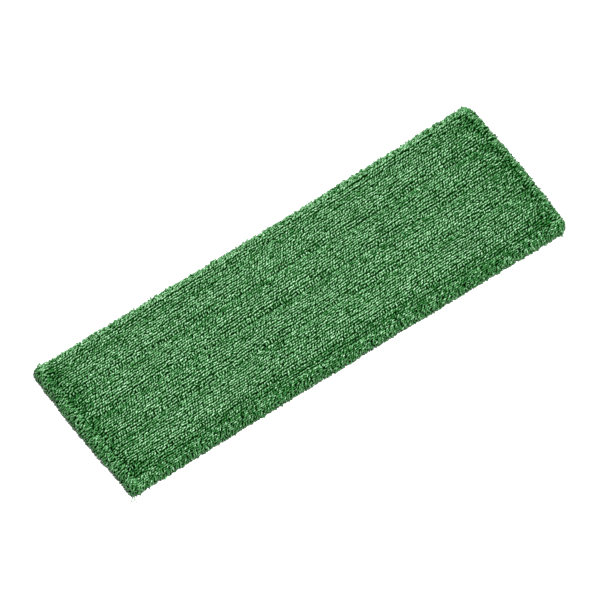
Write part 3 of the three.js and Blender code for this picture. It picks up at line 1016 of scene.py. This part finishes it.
def overlock(material):
    """The binding of the cut edge: a looper over it, one under it, and the needle line that holds both."""
    random = np.random.default_rng(80)
    t = np.linspace(0, 1, LOOPER_STEPS)[None, :, None]
    hook = np.sin(np.pi * t)
    rim, outs = ring_points(HALF_LENGTH - LOOPER_INSET, HALF_WIDTH - LOOPER_INSET, CORNER, STITCH, 3)
    after = np.roll(rim, -1, axis=0)
    count = len(rim)
    along = rim[:, None] * (1 - t) + after[:, None] * t
    reach = (LOOPER_REACH + 0.15 * random.standard_normal(count))[:, None, None]
    under = along + outs[:, None] * reach * hook**0.75
    radii = THREAD_RADIUS * 0.9 * np.ones((count, LOOPER_STEPS))
    z = LOOPER_HEIGHT + 1.7 * hook[..., 0] ** 4 + 0.05 * random.random(count)[:, None]
    make_tubes("overlock_lower_stitches", with_height(under, z), radii, material, "overlock_lower_thread")

    turn = 1.75 * hook
    roll = EDGE_ROLL + 0.3
    over = along + outs[:, None] * (0.9 + roll * np.sin(turn)) + (after - rim)[:, None] / 2
    z = SEWN_Z - EDGE_ROLL + roll * np.cos(turn[..., 0])
    make_tubes("overlock_upper_stitches", with_height(over, z), radii, material, "overlock_upper_thread")

    line = ring_points(HALF_LENGTH - NEEDLE_INSET, HALF_WIDTH - NEEDLE_INSET, CORNER, STITCH, 3)[0]
    lock_stitches("overlock_needle_stitches", line, np.roll(line, -1, axis=0), back_underside, -1, material,
                  "overlock_needle_thread", 84)


def thread_tail(material):
    """The loose ends of the overlock thread, left at the corner where the sewing stopped."""
    s = np.linspace(0, 1, TAIL_STEPS)[:, None]
    corner = np.array([-HALF_LENGTH + 3.5, -HALF_WIDTH + 3.5, 3.2])
    ends = []
    for out, sag in (((-0.75, -0.55), 2.2), ((-0.35, -0.8), 2.6)):
        away = np.array([*out, 0.0]) * TAIL_LENGTH
        curl = np.array([-out[1], out[0], 0.0]) * np.sin(2.6 * s * np.pi) * 0.8 * s
        ends.append(corner + away * s + curl - np.array([0, 0, sag]) * s**2)
    paths = np.array(ends)
    radii = THREAD_RADIUS * np.ones(paths.shape[:2])
    make_tubes("thread_tail", paths, radii, material, "overlock_lower_thread")


# ---- The care label ----

HEM = 3.5              # of the folded free end of the label
PLY = 0.13             # thickness of its ribbon


def care_label():
    """A blank satin ribbon caught in the overlock at one end, its free end folded under and stitched."""
    start, fold = label_low[0], label_low[0] + HEM
    xs = np.concatenate([
        [start + 0.15], np.linspace(start + 0.3, fold, 9),
        [fold + 0.15], np.linspace(fold + 0.8, label_high[0], 60),
    ])
    ys = np.linspace(label_low[1] + 0.2, label_high[1] - 0.2, 49)
    x, y = grid(xs, ys)
    middle = (label_low[2] + label_high[2]) / 2 + 0.03 * smooth_noise(x, y, 8, 9, 91)
    frayed = 0.12 * smooth_noise(x, y, 1.2, 40, 92) * (np.abs(y - ys.mean()) > np.ptp(ys) / 2 - 0.1)
    half = np.where(x < fold + 0.1, PLY, PLY / 2) + 0.01 * smooth_noise(x, y, 2, 2, 93)
    top = np.stack([x, y + frayed, middle + half], axis=-1)
    bottom = np.stack([x, y + frayed, middle - half], axis=-1)
    make_sheet("label_ribbon", top, bottom, label_satin(), "care_label", body="label")


def label_tacking(material):
    """Two rows of stitches across the label: its hem, and where the overlock catches it."""
    ys = np.arange(label_low[1] + 1.5, label_high[1] - 1.4, 2.1)
    middle = (label_low[2] + label_high[2]) / 2
    s = np.linspace(0.08, 0.92, STITCH_STEPS)
    paths = []
    for x in (label_low[0] + HEM - 0.9, label_high[0] - 1.6):
        for start, end in zip(ys, ys[1:]):
            y = start + (end - start) * s
            z = middle - 0.02 - 0.08 * np.sin(np.pi * s) ** 0.5
            paths.append(np.stack([np.full_like(y, x), y, z], axis=1))
    paths = np.array(paths)
    radii = np.full(paths.shape[:2], 0.09)
    make_tubes("label_stitches", paths, radii, material, "care_label", body="label")


# ---- The stage ----

AZIMUTH, ELEVATION = np.radians(-35.4), np.radians(59.45)
VIEW_WIDTH = 0.465
CAMERA_DISTANCE = 3
VIEW_CENTRE = Vector((0, 0, 0.006))
FLOOR_HALF = 1.2
FLOOR_DROP = 0.0006    # keeps the floor clear of the lowest fibres
AMBIENT, BACKDROP = 0.16, 1.1      # light that the surroundings give, and how bright they look


def make_floor():
    mesh = bpy.data.meshes.new("floor")
    corners = [(x * FLOOR_HALF, y * FLOOR_HALF, 0) for x, y in ((-1, -1), (1, -1), (1, 1), (-1, 1))]
    mesh.from_pydata(corners, [], [(0, 1, 2, 3)])
    mesh.materials.append(pale_floor())
    floor = add_object("floor", mesh)
    floor.location.z = -FLOOR_DROP


def face(aimed, direction):
    """Turn a light or camera to look along a direction."""
    aimed.rotation_mode = "QUATERNION"
    aimed.rotation_quaternion = direction.to_track_quat("-Z", "Y")


def make_light(name, place, size, power):
    """A square soft light that faces the middle of the pad."""
    lamp = bpy.data.lights.new(name, "AREA")
    lamp.size = size
    lamp.energy = power
    lit = add_object(name, lamp)
    lit.location = place
    face(lit, -Vector(place))


def make_camera():
    camera = bpy.data.cameras.new("camera")
    camera.type = "ORTHO"
    camera.ortho_scale = VIEW_WIDTH
    camera.clip_end = 20
    made = add_object("camera", camera)
    back = Vector((
        np.sin(AZIMUTH) * np.cos(ELEVATION),
        -np.cos(AZIMUTH) * np.cos(ELEVATION),
        np.sin(ELEVATION),
    ))
    face(made, -back)
    made.location = back * CAMERA_DISTANCE + VIEW_CENTRE
    bpy.context.scene.camera = made


def make_stage():
    make_floor()
    world = bpy.data.worlds.new("studio")
    world.use_nodes = True
    nodes, links = world.node_tree.nodes, world.node_tree.links
    direct = nodes.new("ShaderNodeLightPath").outputs["Is Camera Ray"]
    strength = nodes.new("ShaderNodeMapRange")
    strength.inputs["To Min"].default_value = AMBIENT
    strength.inputs["To Max"].default_value = BACKDROP
    links.new(direct, strength.inputs["Value"])
    background = nodes["Background"]
    background.inputs["Color"].default_value = (1, 1, 1, 1)
    links.new(strength.outputs["Result"], background.inputs["Strength"])
    bpy.context.scene.world = world
    make_light("key", (-0.15, -0.55, 2.2), 0.4, 106)
    make_light("fill", (-1.2, 1.4, 1.7), 1.6, 7)
    make_camera()
    bpy.context.scene.view_settings.view_transform = "Standard"
    bpy.context.scene.view_settings.look = "None"


ground_cloth()
make_pile()
back_cloth()
felt_core()
thread = sewing_thread()
seams(thread)
overlock(thread)
thread_tail(thread)
care_label()
label_tacking(thread)
make_stage()
